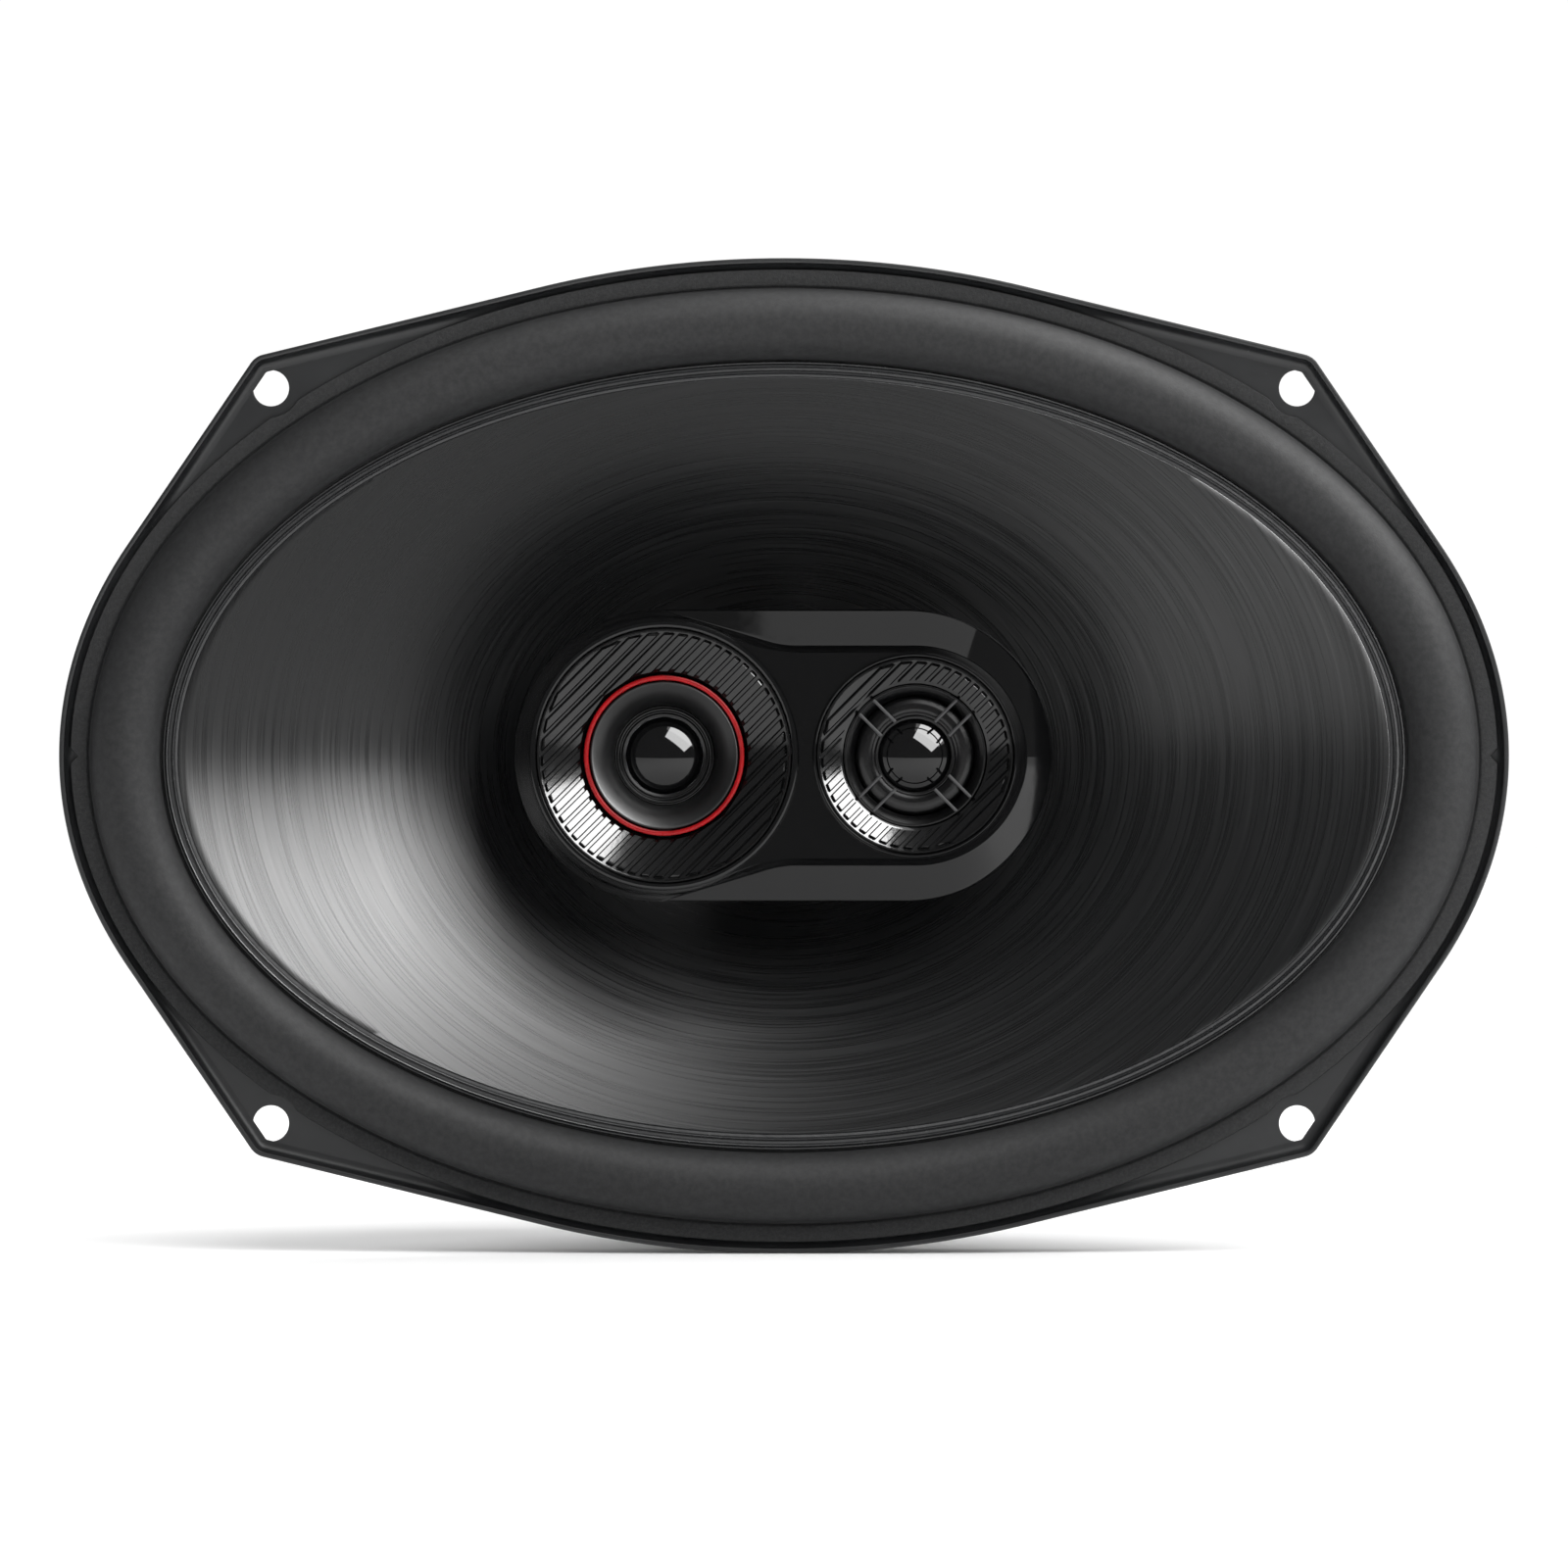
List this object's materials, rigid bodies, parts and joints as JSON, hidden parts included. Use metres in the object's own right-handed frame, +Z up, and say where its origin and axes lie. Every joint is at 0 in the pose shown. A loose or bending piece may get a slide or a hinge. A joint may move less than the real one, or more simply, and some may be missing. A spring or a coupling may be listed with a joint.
{
  "type": "oval three-way coaxial car loudspeaker",
  "caption": "Oval coaxial car loudspeaker with a brushed black cone and a glossy pod that holds a midrange and a tweeter, screwed to a panel by corner ears",
  "frame": {"origin": "on the motor's axis, in the mounting plane (the flange's rear face)", "axes": "+X along the long axis of the oval, to the right as seen from the front; the cone faces -Y; +Z up"},
  "size_m": [0.236, 0.096, 0.162],
  "materials": {
    "painted_steel": "black electrocoat on stamped steel, satin with worn bright edges",
    "zinc_steel": "bright zinc-plated steel",
    "ferrite": "ground strontium ferrite, dark grey, matte",
    "neodymium": "nickel-plated magnet",
    "rubber": "matte black rubber with a fine mottled grain",
    "cone_polymer": "charcoal polypropylene with fine brushed streaks round the axis",
    "gloss_black": "piano-black injection-moulded plastic",
    "matte_black": "satin black plastic",
    "red_trim": "red lacquered plastic",
    "kapton": "amber polyimide film",
    "copper": "enamelled copper wire",
    "spider_cloth": "resin-stiffened woven cotton, amber",
    "phenolic": "brown phenolic paper board"
  },
  "bodies": {
    "frame": {"basket": "painted_steel", "surround": "rubber", "spider": "spider_cloth", "top_plate": "zinc_steel", "magnet_ring": "ferrite", "back_plate": "zinc_steel", "motor_rivet_1": "zinc_steel", "motor_rivet_2": "zinc_steel", "motor_rivet_3": "zinc_steel", "motor_rivet_4": "zinc_steel", "terminal_board": "phenolic", "terminal_positive": "zinc_steel", "terminal_negative": "zinc_steel", "terminal_rivet_1": "zinc_steel", "terminal_rivet_2": "zinc_steel", "pod_housing": "gloss_black", "pod_base": "matte_black", "pod_stem": "zinc_steel", "pod_bolt": "zinc_steel", "stem_washer": "zinc_steel", "stem_nut": "zinc_steel", "pod_screw_1": "zinc_steel", "pod_screw_2": "zinc_steel", "mid_bezel": "gloss_black", "mid_trim_ring": "red_trim", "mid_throat": "matte_black", "mid_surround": "rubber", "mid_pole_plate": "zinc_steel", "mid_magnet": "neodymium", "mid_yoke": "zinc_steel", "tweeter_bezel": "gloss_black", "tweeter_guard": "gloss_black", "tweeter_frame": "matte_black", "tweeter_surround": "rubber", "tweeter_pole_plate": "zinc_steel", "tweeter_magnet": "neodymium", "tweeter_yoke": "zinc_steel"},
    "cone": {"cone": "cone_polymer", "voice_coil_former": "kapton", "voice_coil_winding": "copper"},
    "mid_diaphragm": {"mid_dome": "gloss_black", "mid_coil": "copper"},
    "tweeter_diaphragm": {"tweeter_dome": "gloss_black", "tweeter_coil": "copper"}
  },
  "joints": [
    {"name": "cone_travel", "type": "slide", "parent": "frame", "child": "cone", "axis": [0, -1, 0], "range_m": [-0.005, 0.005], "stiffness_N_per_m": 2400, "deforming": ["surround", "spider"]},
    {"name": "mid_dome_travel", "type": "slide", "parent": "frame", "child": "mid_diaphragm", "axis": [0, -1, 0], "range_m": [-0.0003, 0.0003], "stiffness_N_per_m": 3000, "deforming": ["mid_surround"]},
    {"name": "tweeter_dome_travel", "type": "slide", "parent": "frame", "child": "tweeter_diaphragm", "axis": [0, -1, 0], "range_m": [-0.0002, 0.0002], "stiffness_N_per_m": 3000, "deforming": ["tweeter_surround"]}
  ]
}
